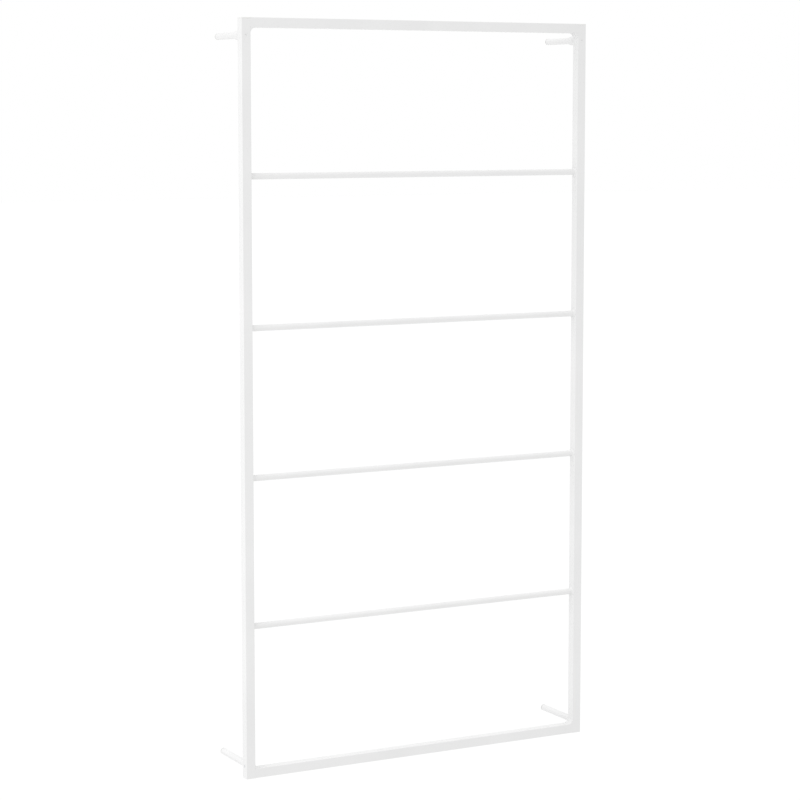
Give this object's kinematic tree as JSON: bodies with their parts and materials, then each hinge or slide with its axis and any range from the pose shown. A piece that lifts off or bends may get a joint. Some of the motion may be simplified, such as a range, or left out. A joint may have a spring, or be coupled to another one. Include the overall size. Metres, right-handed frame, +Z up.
{
  "type": "wall mounted fold down drying rack",
  "caption": "White steel ladder-shaped drying rack on round wall arms; it folds forward and down about its lower arms.",
  "frame": {"origin": "centre of the four wall fixings, in the plane of the wall", "axes": "+Z up along the posts, +Y into the wall, +X to the right seen from the front"},
  "size_m": [0.6, 0.103, 1.15],
  "materials": {
    "white_coat": "satin white powder coat",
    "plug_nylon": "fine matt moulded nylon",
    "washer_nylon": "fine matt moulded nylon, light grey",
    "bush_nylon": "natural nylon",
    "rubber": "matt light grey rubber",
    "magnet_nickel": "nickel plated",
    "pin_steel": "zinc plated"
  },
  "bodies": {
    "wall_arms": {"upper_left_arm": "white_coat", "upper_right_arm": "white_coat", "lower_left_arm": "white_coat", "lower_right_arm": "white_coat", "left_pivot_bushes": "bush_nylon", "right_pivot_bushes": "bush_nylon", "left_catch_cup": "white_coat", "right_catch_cup": "white_coat", "left_catch_buffer": "rubber", "right_catch_buffer": "rubber", "left_catch_magnet": "magnet_nickel", "right_catch_magnet": "magnet_nickel", "wall_washers": "washer_nylon"},
    "rack": {"left_post": "white_coat", "right_post": "white_coat", "top_rail": "white_coat", "bottom_rail": "white_coat", "rung_1": "white_coat", "rung_2": "white_coat", "rung_3": "white_coat", "rung_4": "white_coat", "left_top_plug": "plug_nylon", "right_top_plug": "plug_nylon", "left_pivot_pin": "pin_steel", "right_pivot_pin": "pin_steel", "corner_welds": "white_coat", "rung_welds": "white_coat", "catch_screws": "white_coat"}
  },
  "joints": [
    {"name": "fold", "type": "hinge", "parent": "wall_arms", "child": "rack", "pos_m": [0, -0.0962, -0.5525], "axis": [1, 0, 0], "range_deg": [0, 90]}
  ]
}
